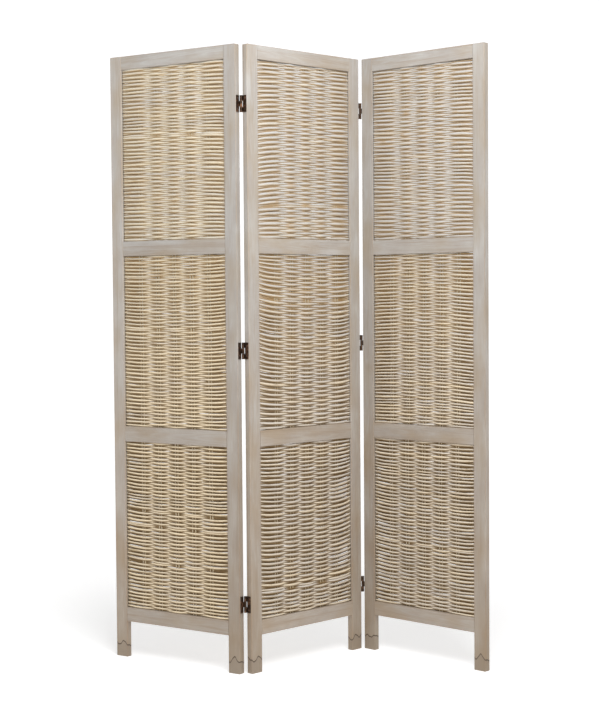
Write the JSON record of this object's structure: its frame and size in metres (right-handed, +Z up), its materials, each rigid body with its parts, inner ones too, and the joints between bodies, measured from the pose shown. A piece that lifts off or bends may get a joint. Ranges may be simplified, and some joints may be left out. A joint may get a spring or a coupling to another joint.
{
  "type": "folding room divider screen",
  "caption": "Free-standing folding screen of hinged whitewashed wood frames filled with woven willow, opening flat or closing into a slim stack.",
  "frame": {"origin": "on the floor, at the middle of the standing zigzag's bounding box", "axes": "+Z up, +X from the left panel to the right panel across the whole screen, +Y away from the viewer, so the front faces -Y"},
  "size_m": [1.038, 0.3223, 1.7],
  "materials": {
    "frame_wood": "whitewashed, matt, worn at the edges",
    "willow_weave": "peeled willow rods under a thin whitewash",
    "willow_stakes": "peeled willow, unpainted",
    "hinge_metal": "dark antique bronze, worn",
    "screw_metal": "dark antique bronze, worn"
  },
  "bodies": {
    "center_panel": {"center_panel_left_stile": "frame_wood", "center_panel_right_stile": "frame_wood", "center_panel_top_rail": "frame_wood", "center_panel_high_rail": "frame_wood", "center_panel_low_rail": "frame_wood", "center_panel_bottom_rail": "frame_wood", "center_panel_upper_weave": "willow_weave", "center_panel_upper_stakes": "willow_stakes", "center_panel_middle_weave": "willow_weave", "center_panel_middle_stakes": "willow_stakes", "center_panel_lower_weave": "willow_weave", "center_panel_lower_stakes": "willow_stakes", "left_top_hinge_center_leaf": "hinge_metal", "left_top_hinge_pin": "hinge_metal", "left_middle_hinge_center_leaf": "hinge_metal", "left_middle_hinge_pin": "hinge_metal", "left_bottom_hinge_center_leaf": "hinge_metal", "left_bottom_hinge_pin": "hinge_metal", "right_top_hinge_center_leaf": "hinge_metal", "right_top_hinge_pin": "hinge_metal", "right_middle_hinge_center_leaf": "hinge_metal", "right_middle_hinge_pin": "hinge_metal", "right_bottom_hinge_center_leaf": "hinge_metal", "right_bottom_hinge_pin": "hinge_metal", "center_panel_screws": "screw_metal"},
    "left_panel": {"left_panel_left_stile": "frame_wood", "left_panel_right_stile": "frame_wood", "left_panel_top_rail": "frame_wood", "left_panel_high_rail": "frame_wood", "left_panel_low_rail": "frame_wood", "left_panel_bottom_rail": "frame_wood", "left_panel_upper_weave": "willow_weave", "left_panel_upper_stakes": "willow_stakes", "left_panel_middle_weave": "willow_weave", "left_panel_middle_stakes": "willow_stakes", "left_panel_lower_weave": "willow_weave", "left_panel_lower_stakes": "willow_stakes", "left_top_hinge_left_leaf": "hinge_metal", "left_middle_hinge_left_leaf": "hinge_metal", "left_bottom_hinge_left_leaf": "hinge_metal", "left_panel_screws": "screw_metal"},
    "right_panel": {"right_panel_left_stile": "frame_wood", "right_panel_right_stile": "frame_wood", "right_panel_top_rail": "frame_wood", "right_panel_high_rail": "frame_wood", "right_panel_low_rail": "frame_wood", "right_panel_bottom_rail": "frame_wood", "right_panel_upper_weave": "willow_weave", "right_panel_upper_stakes": "willow_stakes", "right_panel_middle_weave": "willow_weave", "right_panel_middle_stakes": "willow_stakes", "right_panel_lower_weave": "willow_weave", "right_panel_lower_stakes": "willow_stakes", "right_top_hinge_right_leaf": "hinge_metal", "right_middle_hinge_right_leaf": "hinge_metal", "right_bottom_hinge_right_leaf": "hinge_metal", "right_panel_screws": "screw_metal"}
  },
  "joints": [
    {"name": "left_fold", "type": "hinge", "parent": "center_panel", "child": "left_panel", "pos_m": [-0.14478, -0.14891, 0.878], "axis": [0, 0, 1], "range_deg": [-100.5, 94.5]},
    {"name": "right_fold", "type": "hinge", "parent": "center_panel", "child": "right_panel", "pos_m": [0.18948, 0.15154, 0.888], "axis": [0, 0, 1], "range_deg": [-91, 104]}
  ]
}
